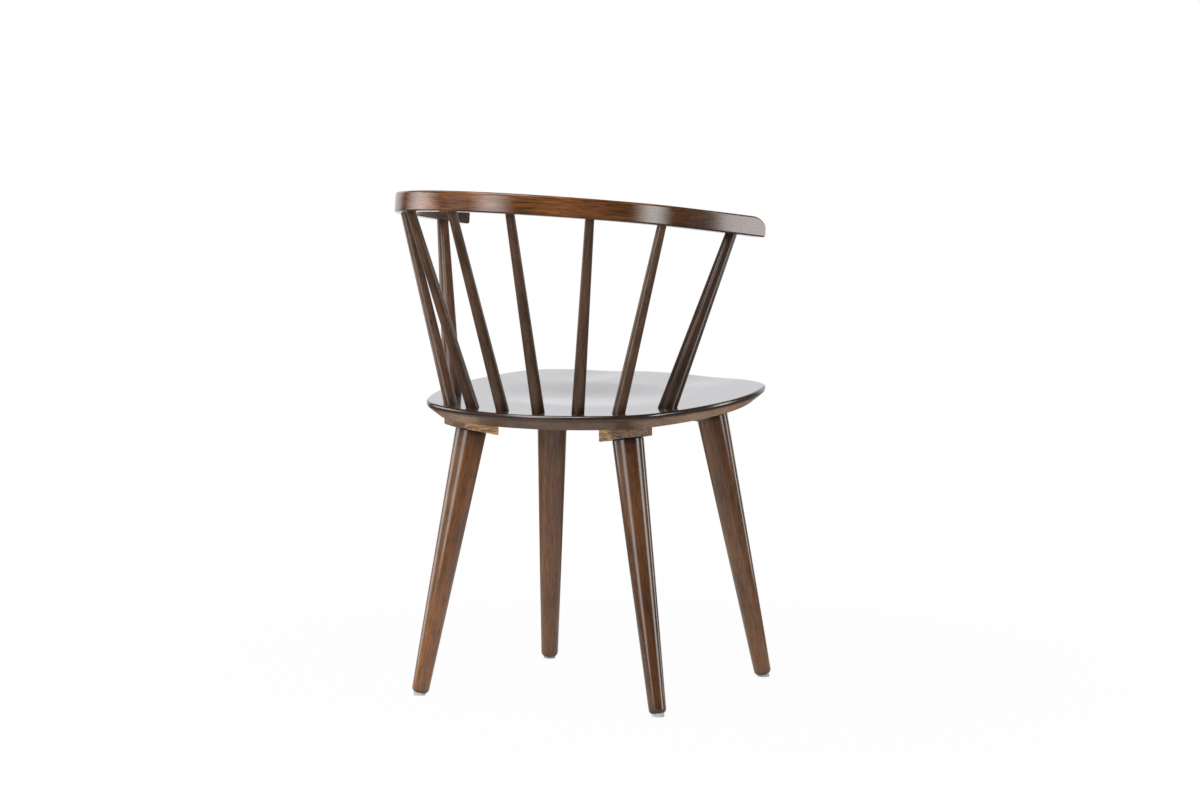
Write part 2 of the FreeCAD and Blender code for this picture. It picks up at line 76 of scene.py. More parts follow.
# Painted shade along them, darkest where they meet the seat, rail, blocks and glides: places as shares of
# the length, amounts there, and reaches
SPINDLE_PAINTED_SHADE = ((0, 0.25, 0.6), (0, 0.45, 0.06), (1, 0.4, 0.03))
LEG_PAINTED_SHADE = ((1, 0.35, 0.10), (1, 0.65, 0.025), (0, 0.9, 0.020))

# How light the rail is drawn: places from the middle of the back, + to the left, and tones there
RAIL_PLACES = (-0.56, -0.33, -0.24, -0.155, -0.125, -0.06, 0.04, 0.10, 0.155, 0.20, 0.56)
RAIL_TONES = (0.95, 0.65, 1.0, 0.86, 1.35, 1.0, 1.8, 1.1, 1.5, 1.1, 1.0)
UPPER_PAINTED_HIGHLIGHT, LOWER_EDGE_DARKENING = 0.7, 0.6  # painted highlight along the rail's upper edges, and darkening of its lower ones
END_GATHER, END_REACH = 0.75, 0.055  # stain towards the rail's ends, and how far it reaches

# The seat: darkening on its band and on its top edge, and painted light on its bevel and underside: lighter
# either side of a middle stretch
BAND_DARKENING, TOP_EDGE_DARKENING = 0.7, 0.6
PAINTED_LIGHT_GAP_X, PAINTED_LIGHT_GAP_HALF_WIDTH, PAINTED_LIGHT_EDGE, PAINTED_LIGHT_GAIN = -0.055, 0.10, 0.05, 1.9

# Where the darkening begins on each block, outwards from the middle of its leg: stain washed in on the rear
# blocks, and the front blocks darkened all over
WASH_STARTS = {"leg_rear_left": 0.019, "leg_rear_right": -0.003,
               "leg_front_left": -0.060, "leg_front_right": -0.060}

# Noise in the wood: scale across the fibre, stretch along it, detail and distortion
WOOD_PATTERNS = ((20.0, 0.4, 2.0, 0.6), (140.0, 0.10, 3.0, 0.8), (620.0, 0.05, 2.0, 0.3),
                 (760.0, 0.09, 1.0, 0.0))
BLOCK_PATTERNS = ((420.0, 0.08, 3.0, 0.5), (90.0, 0.6, 2.0, 0.5), (520.0, 0.40, 1.0, 0.0))
# Where the last of each is sharpened into pores or flecks
PORE_EDGES, FLECK_EDGES = (0.57, 0.70), (0.55, 0.66)

# The floor by its distance from the chair: two distances, and the values there
FLOOR_WHITE = (0.5, 1.6, 0.97, 1.0)  # how white the camera sees it
FLOOR_SWEEP = (1.0, 3.5, 0.0, 0.9)  # its glow in reflections, behind the chair
FLOOR_NEAR = (0.5, 1.0)  # where its glow elsewhere goes over from near to far
# The backdrop's outer and inner edge, as cosines of the angle from straight behind the chair
BACKDROP_EDGES = (0.766, 0.891)
PLAIN_WHITE, COOL_WHITE = (1.0, 1.0, 1.0, 1.0), (0.965, 0.97, 1.0, 1.0)

# Soft boxes: swing from the camera and rise in degrees, distance, size, fade at the sides, watts
LAMPS = (
    ("left_box", -41.5, 4, 2.6, (1.85, 1.3), 1.0, 28.0),
    ("left_fill", -70, 4, 2.9, (2.0, 1.4), 0.8, 4.0),
    ("right_box", 70.2, 3, 2.6, (1.55, 1.2), 1.0, 28.0),
    ("left_rim", -107, 1, 2.2, (2.15, 1.0), 1.0, 19.2),
    ("right_rim", 111.3, 1, 2.2, (0.46, 1.0), 0.05, 4.6),
    ("top_box", -38, 46, 3.2, (3.0, 2.2), 0.2, 78.0),
)


def panel_field(kind, **options):
    """A maker of panel fields of one kind from a name, a default and a description."""
    def make(name, default, description):
        return kind(name=name, default=default, description=description, **options)
    return make


level = panel_field(FloatProperty, subtype="FACTOR")
length = panel_field(FloatProperty, unit="LENGTH", precision=4)
lengths = panel_field(FloatVectorProperty, unit="LENGTH", size=2, precision=4)
tint = panel_field(FloatVectorProperty, subtype="COLOR", size=3, min=0.0, max=1.0)


def angle(name, degrees, description):
    """An angle given in degrees as a panel field in radians."""
    return panel_field(FloatProperty, subtype="ANGLE")(name, math.radians(degrees), description)


class SeatSettings(PropertyGroup):
    """The seat board and its saddle."""
    height: length("Height", 0.458, "Rim above the floor, at the middle")
    tilt: angle("Tilt", 1.38, "How far the front edge is raised")
    thickness: length("Thickness", 0.024, "Board thickness at the rim")
    half_width: length("Half width", 0.2375, "Middle to a side's widest point")
    widest_y: length("Widest at", -0.088, "Widest point, front to back")
    back_y: length("Back", 0.1965, "Middle of the back edge")
    front_y: length("Front", -0.3068, "Middle of the front edge")
    back_bow: length("Back bow", 0.280, "Radius of the back edge")
    side_bow: length("Side bow", 0.465, "Radius of each side")
    front_bow: length("Front bow", 0.475, "Radius of the front edge")
    rear_corner: length("Rear corner", 0.124, "Radius of the rear corners")
    front_corner: length("Front corner", 0.080, "Radius of the front corners")
    band: length("Band", 0.008, "Upright part of the edge above the bevel")
    bevel_inset: length("Bevel inset", 0.020, "How far the bevel runs in under the board")
    edge_round: length("Edge round", 0.003, "Round-over of the top edge")
    arris_round: length("Arris round", 0.0095, "Softening where the band meets the bevel")
    hollow_depth: length("Hollow depth", 0.006, "Depth of the saddle")
    lip: length("Lip", 0.0005, "Height of the saddle's form over the flat rim")
    hollow_y: length("Hollow middle", -0.040, "Middle of the saddle, front to back")
    hollow_reach: lengths("Hollow reach", (0.190, 0.150), "Saddle's reach to each side, and front and back")
    thigh_depth: length("Thigh depth", 0.0016, "Depth of the thigh grooves at the front edge")
    thigh_x: length("Thigh place", 0.090, "Middle of each thigh groove")
    thigh_half_width: length("Thigh half width", 0.085, "Reach of each thigh groove")
    thigh_run: lengths("Thigh run", (-0.110, -0.260), "Where the thigh grooves begin and reach their depth")


class RailSettings(PropertyGroup):
    """The bent bow rail."""
    rise: length("Rise", 0.2625, "Underside above the seat's rim, at the middle")
    tilt: angle("Tilt", 8.1, "How far the back is raised")
    back_y: length("Back", 0.2974, "Middle line at the back")
    back_bend: length("Back bend", 0.2026, "Radius of the back bend")
    back_turn: angle("Back turn", 31.7, "Turned at the end of the back bend, each side")
    side_bend: length("Side bend", 0.2657, "Radius of the side bends")
    side_turn: angle("Side turn", 80.0, "Turned where a side bend eases into its arm")
    arm_bow: length("Arm bow", 2.413, "Radius of the arms' long gentle curve")
    end_turn: angle("End turn", 84.98, "Turned at an arm's front end")
    thickness: length("Thickness", 0.026, "Rail thickness seen from above")
    depth: length("Depth", 0.0302, "Rail depth seen from the side")
    nose: lengths("Nose", (0.037, 0.019), "Rounded nose of an arm, along it and from its top down")
    arm_bottom_round: length("Arm bottom round", 0.004, "Lower corner of an arm's end")
    edge_round: length("Edge round", 0.003, "Round-over of the long edges")


class SpindleSettings(PropertyGroup):
    """Back spindles and arm posts."""
    taper: lengths("Taper", (0.0196, 0.0139), "Spindle diameters at the seat and at the rail")
    post_taper: lengths("Post taper", (0.028, 0.0176), "Arm post diameters at the seat and at the rail")
    foot_inset: length("Foot inset", 0.028, "Feet in from the back bow's circle")
    foot_pitch: angle("Foot pitch", 13.85, "Turn between feet round that circle")
    head_1: angle("First head", 13.9, "Turn of the rail at the first head")
    head_2: angle("Second head", 43.7, "Turn of the rail at the second head")
    head_3: angle("Third head", 70.5, "Turn of the rail at the third head")
    post_inset: length("Post inset", 0.033, "Post's foot in from the side bow")
    post_angle: angle("Post angle", 17.7, "Post's foot along the side bow")
    post_setback: length("Post setback", 0.0786, "Post's head from the arm's front end")


class LegSettings(PropertyGroup):
    """The four turned legs."""
    rear_inset: lengths("Rear inset", (0.1037, 0.1212), "Rear top in from the seat's side and back")
    front_inset: lengths("Front inset", (0.0986, 0.1091), "Front top in from the seat's side and front")
    rear_splay: lengths("Rear splay", (0.071, 0.0383), "Rear foot out and back from its top")
    front_splay: lengths("Front splay", (0.0501, 0.0839), "Front foot out and forward from its top")
    rear_drop: length("Rear drop", 0.021, "Seat underside to the rear leg's top")
    front_drop: length("Front drop", 0.018, "Seat underside to the front leg's top")
    top: length("Top diameter", 0.048, "Leg diameter at the block")
    foot: length("Foot diameter", 0.026, "Leg diameter at the floor")
    top_chamfer: length("Top chamfer", 0.002, "Eased edge at the leg's top")
    end: length("End diameter", 0.0195, "Flat end inside the rounded foot")
    end_round: length("End round", 0.0065, "Height of the foot's rounding")
    glide: length("Glide", 0.0045, "Glide thickness under the leg's end")


class FinishSettings(PropertyGroup):
    """Colours of the stain, the bare wood and the small parts."""
    seat: tint("Seat stain", (0.088, 0.040, 0.019), "Stain of the seat's top")
    seat_edge: tint("Seat edge stain", (0.120, 0.067, 0.036), "Stain of the seat's edge and underside")
    rail: tint("Rail stain", (0.130, 0.050, 0.016), "Stain of the bow rail")
    spindles: tint("Spindle stain", (0.086, 0.045, 0.026), "Stain of the spindles and posts")
    legs: tint("Leg stain", (0.155, 0.064, 0.023), "Stain of the legs")
    bare: tint("Bare wood", (0.76, 0.48, 0.245), "Unlacquered block wood")
    bare_dark: tint("Bare wood, dark", (0.22, 0.105, 0.045), "Dark streaks in the block wood")
    wash: tint("Wash", (0.46, 0.49, 0.60), "Shade of the stain washed over the blocks' outer ends")
    nylon: tint("Nylon", (0.68, 0.68, 0.66), "Floor glides")
    zinc: tint("Zinc", (0.55, 0.56, 0.57), "Bolts, inserts, screws and nails")


class StageSettings(PropertyGroup):
    """Camera, light and floor."""
    camera_turn: angle("Camera turn", 207.442, "Camera azimuth; 0 looks along +Y")
    camera_rise: angle("Camera rise", 6.864, "Camera elevation above the horizon")
    camera_distance: length("Camera distance", 8.5, "Camera to its aim")
    aim: FloatVectorProperty(name="Aim", description="Point at the middle of the picture",
                             default=(-0.03706, -0.02041, 0.45282), subtype="XYZ", size=3)
    lens: FloatProperty(name="Lens", description="Focal length on a 36 mm wide sensor", default=167.496)
    floor_size: length("Floor size", 60.0, "Side of the floor")
    floor_tint: tint("Floor", (0.88, 0.88, 0.88), "Floor colour")
    floor_mirrored: level("Floor mirrored", 0.6, "White of the near floor in reflections")
    floor_far: level("Far floor mirrored", 0.12, "White of the far floor in reflections")
    world_level: level("World level", 0.2, "Light from all round")
    room_level: level("Room level", 0.06, "Room behind the camera, in reflections")


GROUPS = {
    "armchair_seat": SeatSettings,
    "armchair_rail": RailSettings,
    "armchair_spindles": SpindleSettings,
    "armchair_legs": LegSettings,
    "armchair_finish": FinishSettings,
    "armchair_stage": StageSettings,
}


def settings(name):
    """One settings group of the current scene."""
    return getattr(bpy.context.scene, "armchair_" + name)


def unit(vectors):
    """Vectors scaled to length one, along the last axis."""
    return vectors / np.linalg.norm(vectors, axis=-1, keepdims=True)


def turn_x(radians):
    """The matrix of a turn about X."""
    c, s = math.cos(radians), math.sin(radians)
    return np.array([[1, 0, 0], [0, c, -s], [0, s, c]])


def from_seat(points):
    """Points in the seat's plane (z = 0 on the rim) tilted and raised into the chair's frame."""
    seat = settings("seat")
    return np.asarray(points, float) @ turn_x(-seat.tilt).T + np.array([0, 0, seat.height])


def from_rail(points):
    """Points in the rail's plane (z = 0 on its underside) tilted and raised into the chair's frame."""
    raised = settings("seat").height + settings("rail").rise
    return np.asarray(points, float) @ turn_x(settings("rail").tilt).T + np.array([0, 0, raised])


def add_object(name, data):
    """A new object in the scene."""
    item = bpy.data.objects.new(name, data)
    bpy.context.scene.collection.objects.link(item)
    return item


def with_ends(rings):
    """Values on rings as one list, followed by the means of the first ring and of the last."""
    return np.concatenate([rings.reshape(-1, *rings.shape[2:]), rings[:1].mean(1), rings[-1:].mean(1)])


def skin(name, rings, grain, gather, tone):
    """A closed piece from rings of points: quads join the rows, and a fan to its mean closes each end.

    rings and grain have the shape (rows, columns, 3). grain is each point's place in the wood, across,
    across and along the fibre. gather is how much the colour is darkened, by gathered stain and by
    painted shade, and tone is how light the piece is drawn, with painted light in places, for the whole
    piece, each row or each point. The finish reads all three.
    """
    rows, columns = rings.shape[:2]
    points = with_ends(rings)
    here = np.arange(rows * columns).reshape(rows, columns)
    after = np.roll(here, -1, axis=1)
    quads = np.stack([here[:-1], after[:-1], after[1:], here[1:]], -1).reshape(-1, 4)
    first = np.stack([after[0], here[0], np.full(columns, rows * columns)], -1)
    last = np.stack([here[-1], after[-1], np.full(columns, rows * columns + 1)], -1)
    fans = np.concatenate([first, last])
    triangles = np.concatenate([fans, quads[:, [0, 1, 2]], quads[:, [0, 2, 3]]])
    a, b, c = (points[triangles[:, corner]] for corner in range(3))
    if np.einsum("ij,ij->", a, np.cross(b, c)) < 0:
        quads = quads[:, ::-1]
        fans = fans[:, ::-1]
    mesh = bpy.data.meshes.new(name)
    mesh.from_pydata(points, [], quads.tolist() + fans.tolist())
    layer = mesh.attributes.new("grain", "FLOAT_VECTOR", "POINT")
    layer.data.foreach_set("vector", with_ends(grain).astype(np.float32).ravel())
    for kind, value in (("gather", gather), ("tone", tone)):
        value = np.asarray(value, np.float32)
        sheet = np.broadcast_to(value[:, None] if value.ndim == 1 else value, (rows, columns))
        layer = mesh.attributes.new(kind, "FLOAT", "POINT")
        layer.data.foreach_set("value", with_ends(sheet))
    mesh.shade_smooth()
    mesh.set_sharp_from_angle(angle=SHARP_ANGLE)
    return add_object(name, mesh)


def soft_corners(points, radii):
    """A line through points whose inner corners are rounded by arcs of the given radii.

    Each arc touches both straight runs, and each run has points near its ends, so that flats shade flat.
    """
    points = np.asarray(points, float)
    line = [points[:1]]
    for before, corner, after, radius in zip(points, points[1:], points[2:], radii):
        to_before = unit(before - corner)
        to_after = unit(after - corner)
        half = math.acos(float(np.clip(to_before @ to_after, -1, 1))) / 2
        reach = radius / math.tan(half)
        centre = corner + unit(to_before + to_after) * radius / math.sin(half)
        start = corner + to_before * reach - centre
        sweep = math.pi - 2 * half
        across = unit(corner + to_after * reach - centre - start * math.cos(sweep)) * radius
        turns = np.linspace(0, sweep, ROUND_STEPS + 1)[:, None]
        line.append(centre + np.cos(turns) * start + np.sin(turns) * across)
    line.append(points[-1:])
    shares = np.array(RUN_SHARES)[:, None]
    runs = [np.concatenate([a, a[-1] + (b[0] - a[-1]) * shares]) for a, b in zip(line, line[1:])]
    return np.concatenate(runs + line[-1:])


def seat_arcs():
    """The arcs of the seat's outline, from the front's +X end round by the back: centre, radius, angles.

    Four bows, each joined to the next by a corner arc that touches both from inside.
    """
    seat = settings("seat")
    back = np.array([0, seat.back_y - seat.back_bow])
    side = np.array([seat.half_width - seat.side_bow, seat.widest_y])
    front = np.array([0, seat.front_y + seat.front_bow])
    rear = corner_centre(side, seat.side_bow, back, seat.back_bow, seat.rear_corner, 1)
    fore = corner_centre(side, seat.side_bow, front, seat.front_bow, seat.front_corner, -1)
    to_front, to_low_side = heading(front, fore), heading(side, fore)
    to_high_side, to_back = heading(side, rear), heading(back, rear)
    half = [(fore, seat.front_corner, to_front, to_low_side),
            (side, seat.side_bow, to_low_side, to_high_side),
            (rear, seat.rear_corner, to_high_side, to_back)]
    flip = np.array([-1, 1])
    other = [(c * flip, r, math.pi - b, math.pi - a) for c, r, a, b in reversed(half)]
    back_arc = (back, seat.back_bow, to_back, math.pi - to_back)
    front_arc = (front, seat.front_bow, -math.pi - to_front, to_front)
    return half + [back_arc] + other + [front_arc]


def corner_centre(centre_a, radius_a, centre_b, radius_b, radius, toward_back):
    """Centre of an arc inside two bows: the crossing of the bows drawn in by its radius."""
    reach_a, reach_b = radius_a - radius, radius_b - radius
    gap = centre_b - centre_a
    span = np.linalg.norm(gap)
    along = (span ** 2 + reach_a ** 2 - reach_b ** 2) / (2 * span)
    across = math.sqrt(reach_a ** 2 - along ** 2)
    normal = np.array([-gap[1], gap[0]]) / span
    choices = [centre_a + gap / span * along + normal * across * s for s in (1, -1)]
    return max(choices, key=lambda c: c[1] * toward_back + c[0])


def heading(start, end):
    """Angle of the line between two points."""
    return math.atan2(end[1] - start[1], end[0] - start[0])


def seat_outline(inset):
    """The seat's closed outline drawn in by an inset: points at even turns round each arc."""
    loops = []
    for centre, radius, first, last in seat_arcs():
        count = max(ARC_POINTS, int(abs(last - first) * radius / OUTLINE_STEP))
        turns = np.linspace(first, last, count, endpoint=False)
        loops.append(centre + np.stack([np.cos(turns), np.sin(turns)], -1) * (radius - inset))
    return np.concatenate(loops)


def swell(t):
    """A bump of cosine squared: 1 at 0, falling to 0 at 1 and beyond, either way."""
    return np.cos(np.pi / 2 * np.minimum(1, np.abs(t))) ** 2


def saddle(x, y):
    """Height of the saddled top: a hollow and two grooves below a form that clears the flat rim.

    The flat rim and the form are joined by a soft minimum, so that the hollow's edge has no crease.
    """
    seat = settings("seat")
    half_width, half_length = seat.hollow_reach
    start, full = seat.thigh_run
    hollow = swell(x / half_width) * swell((y - seat.hollow_y) / half_length)
    run_in = np.clip((start - y) / (start - full), 0, 1)
    groove = swell((np.abs(x) - seat.thigh_x) / seat.thigh_half_width) * swell(1 - run_in)
    form = seat.lip - (seat.hollow_depth + seat.lip) * hollow - (seat.thigh_depth + seat.lip) * groove
    ease = seat.lip / 4
    return -ease * np.log1p(np.exp(-form / ease))


def seat_rings():
    """Rings of the seat from the middle of its underside, round its edge, to the middle of its saddled top.

    Near the edge each ring is the outline at an inset and height of the edge's profile. Further in, rings
    are the innermost outline drawn towards the middle. Also returned are how much each row is darkened
    and the rows where the bevel and the band end.
    """
    seat = settings("seat")
    land = 0.055  # how far in the edge's profile runs
    profile = soft_corners(
        [(land, -seat.thickness), (seat.bevel_inset, -seat.thickness), (0, -seat.band), (0, 0), (land, 0)],
        [seat.edge_round / 2, seat.arris_round, seat.edge_round])
    edge = np.stack([seat_outline(inset) for inset in profile[:, 0]])
    middle = np.array([0, seat.hollow_y])
    below = np.linspace(SEAT_EYES[0], 1, SEAT_ROWS[0], endpoint=False)[:, None, None]
    above = np.linspace(1, SEAT_EYES[1], SEAT_ROWS[1])[1:, None, None]
    plan = np.concatenate([middle + (edge[0] - middle) * below, edge, middle + (edge[-1] - middle) * above])
    height = np.concatenate([np.full(len(below), -seat.thickness), profile[:, 1], np.zeros(len(above))])
    rings = np.concatenate([plan, np.broadcast_to(height[:, None, None], plan.shape[:2] + (1,))], -1)
    rings[..., 2] += np.where(rings[..., 2] > -seat.band, saddle(rings[..., 0], rings[..., 1]), 0)
    on_edge = np.arange(len(height)) < len(below) + len(profile) - len(RUN_SHARES) - 1
    rising = np.clip((height + 1.4 * seat.band) / (0.6 * seat.band), 0, 1)
    gather = np.where(height > -1.1 * seat.edge_round, TOP_EDGE_DARKENING, BAND_DARKENING * rising)
    bevel_end = len(below) + int((profile[:, 1] < -seat.band).sum())
    band_end = len(below) + int((profile[:, 1] < -seat.edge_round / 4).sum())
    return rings, np.where(on_edge, gather, 0), bevel_end, band_end


def seat_painted_light(rings):
    """How light the seat is drawn: painted light on the bevel and underside, lighter either side of a
    middle stretch.
    """
    beyond = np.abs(rings[..., 0] - PAINTED_LIGHT_GAP_X) - PAINTED_LIGHT_GAP_HALF_WIDTH
    painted_light = swell(1 - np.clip(beyond / PAINTED_LIGHT_EDGE, 0, 1))
    # painted light: the bevel and underside are drawn lighter towards both sides
    return np.where(rings[..., 2] < -settings("seat").band, 1 + PAINTED_LIGHT_GAIN * painted_light, 1.0)


def rail_bends():
    """The rail's bends from the middle of the back outwards: radius, and the turn made by its end."""
    rail = settings("rail")
    return ((rail.back_bend, rail.back_turn), (rail.side_bend, rail.side_turn),
            (rail.arm_bow, rail.end_turn))


def rail_line(places):
    """Points and outward directions of the rail's middle line at places along it, measured from the back.

    Three bends follow one another on each side. Each centre lies on the line through the last one and the
    place where the two bends meet, so that they join smoothly.
    """
    rail = settings("rail")
    run = np.abs(places)
    centre = np.array([0, rail.back_y - rail.back_bend])
    line, out = np.zeros(run.shape + (2,)), np.zeros(run.shape + (2,))
    begun, turned, last_bend = 0.0, 0.0, rail.back_bend
    for bend, end_turn in rail_bends():
        centre = centre + np.array([math.sin(turned), math.cos(turned)]) * (last_bend - bend)
        turn = turned + (run - begun) / bend
        here = np.stack([np.sin(turn), np.cos(turn)], -1)
        reached = (run >= begun)[..., None]
        out = np.where(reached, here, out)
        line = np.where(reached, centre + here * bend, line)
        begun, turned, last_bend = begun + bend * (end_turn - turned), end_turn, bend
    flip = np.stack([np.where(places < 0, -1.0, 1.0), np.ones_like(run)], -1)
    return line * flip, out * flip


def rail_place(turn):
    """Place along the rail where it has turned by an angle: the sum of each bend's radius times turn."""
    place, turned = 0.0, 0.0
    for bend, end_turn in rail_bends():
        place += bend * max(0.0, min(turn, end_turn) - turned)
        turned = end_turn
    return place


def rail_half_length():
    """The rail's middle line from the back to an arm's front end."""
    return rail_place(settings("rail").end_turn)


def rail_rings():
    """Rings of the rail from one arm's end to the other: a rounded rectangle carried along the middle line.

    Towards each end the rectangle's top comes down along a quarter ellipse and its bottom up along an arc,
    and its sides draw in by the edge's round. Also returned are the points' places in the wood and how far
    each column lies on an edge's round: 1 at the middle of upper ones, -1 of lower ones and 0 on the flats.
    """
    rail = settings("rail")
    half = rail_half_length()
    nose, drop = rail.nose
    edge = rail.edge_round
    turns = np.linspace(0, math.pi / 2, NOSE_ROWS)
    near_end = np.unique(np.concatenate([nose * (1 - np.sin(turns)), edge * (1 - np.sin(turns))]))
    inner = np.linspace(-half + nose, half - nose, RAIL_ROWS)[1:-1]
    places = np.concatenate([-half + near_end, inner, half - near_end[::-1]])
    left = half - np.abs(places)

    def drawn_in(reach, depth):
        missing = np.clip(1 - left / reach, 0, 1)
        return depth * (1 - np.sqrt(1 - missing ** 2))

    wide = rail.thickness / 2 - drawn_in(edge, edge)
    low = drawn_in(rail.arm_bottom_round, rail.arm_bottom_round)
    high = rail.depth - drawn_in(nose, drop)
    corners, arcs = section_frame()
    across = corners[:, 0] * (wide[:, None] - edge) + arcs[:, 0] * edge
    middle = (low + high)[:, None] / 2
    up = middle + corners[:, 1] * ((high - low)[:, None] / 2 - edge) + arcs[:, 1] * edge
    line, out = rail_line(places)
    plan = line[:, None, :] + out[:, None, :] * across[..., None]
    rings = np.concatenate([plan, up[..., None]], -1)
    grain = np.stack([across, up, np.broadcast_to(places[:, None], up.shape)], -1)
    return rings, grain, 2 * np.abs(arcs[:, 0]) * arcs[:, 1]


def section_frame():
    """A rounded rectangle: signs of its corners and directions on their arcs, with points on its flats."""
    turns = np.linspace(0, math.pi / 2, ROUND_STEPS + 1)
    shares = np.array(FLAT_SHARES)[:, None]
    corners, arcs = [], []
    signs = np.array([(1, 1), (-1, 1), (-1, -1), (1, -1)], float)
    for index, (sign, after) in enumerate(zip(signs, np.roll(signs, -1, axis=0))):
        turned = turns + index * math.pi / 2
        corners.append(np.broadcast_to(sign, (len(turns), 2)))
        arcs.append(np.stack([np.cos(turned), np.sin(turned)], -1))
        corners.append(sign + (after - sign) * shares)
        arcs.append(np.repeat(arcs[-1][-1:], len(shares), axis=0))
    return np.concatenate(corners), np.concatenate(arcs)


def rail_shades(place, on_edge):
    """How much the rail is darkened and how light it is drawn, at places along it.

    The upper edges carry a painted highlight that fades towards the ends. The lower edges are darkened, and
    stain gathers on all edges towards the ends and all over the last one and a half edge rounds.
    """
    left = rail_half_length() - np.abs(place)
    near_end = swell(left / END_REACH)
    at_end = swell(left / (1.5 * settings("rail").edge_round))
    # painted highlight: the upper edges are drawn lighter, fading towards the ends
    wear_and_highlight = 1 + UPPER_PAINTED_HIGHLIGHT * np.clip(on_edge, 0, 1) * (1 - near_end)
    ends = END_GATHER * np.maximum(near_end * np.abs(on_edge), at_end)
    gather = np.maximum(LOWER_EDGE_DARKENING * np.clip(-on_edge, 0, 1), ends)
    return gather, np.interp(place, RAIL_PLACES, RAIL_TONES) * wear_and_highlight


def turned_rings(start, end, profile, start_normal, end_normal):
    """Rings of a piece turned about the line between two points, its ends cut by planes through them.

    profile gives radius against the share of the length. At each angle, shares run from one cutting plane
    to the other.
    """
    span = np.linalg.norm(end - start)
    along = (end - start) / span
    side = unit(np.cross(along, np.array([0.0, 1.0, 0.0])))
    other = np.cross(along, side)
    turns = np.linspace(0, 2 * math.pi, TURNED_COLUMNS, endpoint=False)
    out = np.cos(turns)[:, None] * side + np.sin(turns)[:, None] * other
    shares, radii = profile[:, 0], profile[:, 1]
    first = -radii[0] * (out @ start_normal) / (along @ start_normal)
    last = span - radii[-1] * (out @ end_normal) / (along @ end_normal)
    heights = first + (last - first) * shares[:, None]
    rings = start + heights[..., None] * along + radii[:, None, None] * out
    return rings, np.stack([np.cos(turns) * radii[:, None], np.sin(turns) * radii[:, None], heights], -1)


def taper(base, top):
    """A straight taper from one diameter to another, as shares of the length and radii."""
    shares = np.linspace(0, 1, TURNED_ROWS)
    return np.stack([shares, (base + (top - base) * shares) / 2], -1)


def painted_shade_along(share, bumps):
    """Painted shade along a turned piece: a sum of bumps of cosine squared, each with a place, amount and
    reach.
    """
    return sum(amount * swell((share - place) / reach) for place, amount, reach in bumps)


def each_side(ends):
    """The +X pieces and their mirror images: a number from 1, the node, the flip to its side, +X ends."""
    pieces = [("%s_%s" % (name, side), np.array([sign, 1, 1]), pair)
              for name, pair in ends.items() for side, sign in SIDES]
    return [(number, *piece) for number, piece in enumerate(pieces, 1)]


def spindle_ends():
    """Feet of the +X spindles and post on the seat, places of their heads along the rail, and diameters."""
    seat, spindles = settings("seat"), settings("spindles")
    ends = {}
    for index, turn in enumerate((spindles.head_1, spindles.head_2, spindles.head_3)):
        at = math.pi / 2 - (index + 0.5) * spindles.foot_pitch
        reach = seat.back_bow - spindles.foot_inset
        foot = (math.cos(at) * reach, seat.back_y - seat.back_bow + math.sin(at) * reach, 0)
        ends["spindle_%d" % (index + 1)] = (foot, rail_place(turn), *spindles.taper)
    reach = seat.side_bow - spindles.post_inset
    foot = (seat.half_width - seat.side_bow + math.cos(spindles.post_angle) * reach,
            seat.widest_y + math.sin(spindles.post_angle) * reach, 0)
    ends["arm_post"] = (foot, rail_half_length() - spindles.post_setback, *spindles.post_taper)
    return ends


def seat_underside(y):
    """Height of the tilted seat's underside at a place from front to back."""
    seat = settings("seat")
    under = from_seat((0, 0, -seat.thickness))
    return under[2] - math.tan(seat.tilt) * (y - under[1])


def leg_ends():
    """Foot and top of the +X legs on their axes; each top lies a drop below the seat's underside."""
    seat, legs = settings("seat"), settings("legs")
    ends = {}
    for name, edge, outward in (("rear", seat.back_y, 1), ("front", seat.front_y, -1)):
        inset, splay, drop = (getattr(legs, name + kind) for kind in ("_inset", "_splay", "_drop"))
        x, y = seat.half_width - inset[0], edge - outward * inset[1]
        z = seat_underside(y) - drop
        foot = (x + splay[0], y + outward * splay[1], 0)
        ends["leg_" + name] = (np.array(foot), np.array((x, y, z)))
    return ends


def leg_profile(span):
    """Shares and radii of a leg from its flat end: an arc up to the side, a straight taper, an eased top.

    The arc is upright where it meets the side.
    """
    legs = settings("legs")
    slope = (legs.top - legs.foot) / 2 / span
    start, shoulder = legs.glide, legs.glide + legs.end_round
    side, end = legs.foot / 2 + slope * shoulder, legs.end / 2
    width, height = side - end, legs.end_round
    radius = (width ** 2 + height ** 2) / (2 * width)
    turns = np.linspace(-math.asin(height / radius), 0, FOOT_ROWS)
    arc = np.stack([shoulder + radius * np.sin(turns), side - radius + radius * np.cos(turns)], -1)
    neck = span - legs.top_chamfer
    run = np.linspace(shoulder, neck, TURNED_ROWS)[1:]
    straight = np.stack([run, legs.foot / 2 + slope * run], -1)
    top = np.array([[span, legs.top / 2 - legs.top_chamfer]])
    line = np.concatenate([arc, straight, top])
    line[:, 0] = (line[:, 0] - start) / (span - start)
    return line


def feed(tree, socket, value):
    """Link a socket to another one, or set its value."""
    if isinstance(value, bpy.types.NodeSocket):
        tree.links.new(value, socket)
    else:
        socket.default_value = value


def set_inputs(tree, node, **values):
    """Feed a node's named inputs, and set its other settings."""
    for key, value in values.items():
        name = key.replace("_", " ")
        if name in node.inputs:
            feed(tree, node.inputs[name], value)
        else:
            setattr(node, key, value)


def add_node(tree, kind, **values):
    """A new shader node with its inputs fed and its settings set."""
    node = tree.nodes.new("ShaderNode" + kind)
    set_inputs(tree, node, **values)
    return node


def new_finish(name):
    """A new material, its node tree and its surface shader."""
    material = bpy.data.materials.new(name)
    material.use_nodes = True
    return material, material.node_tree, material.node_tree.nodes["Principled BSDF"]


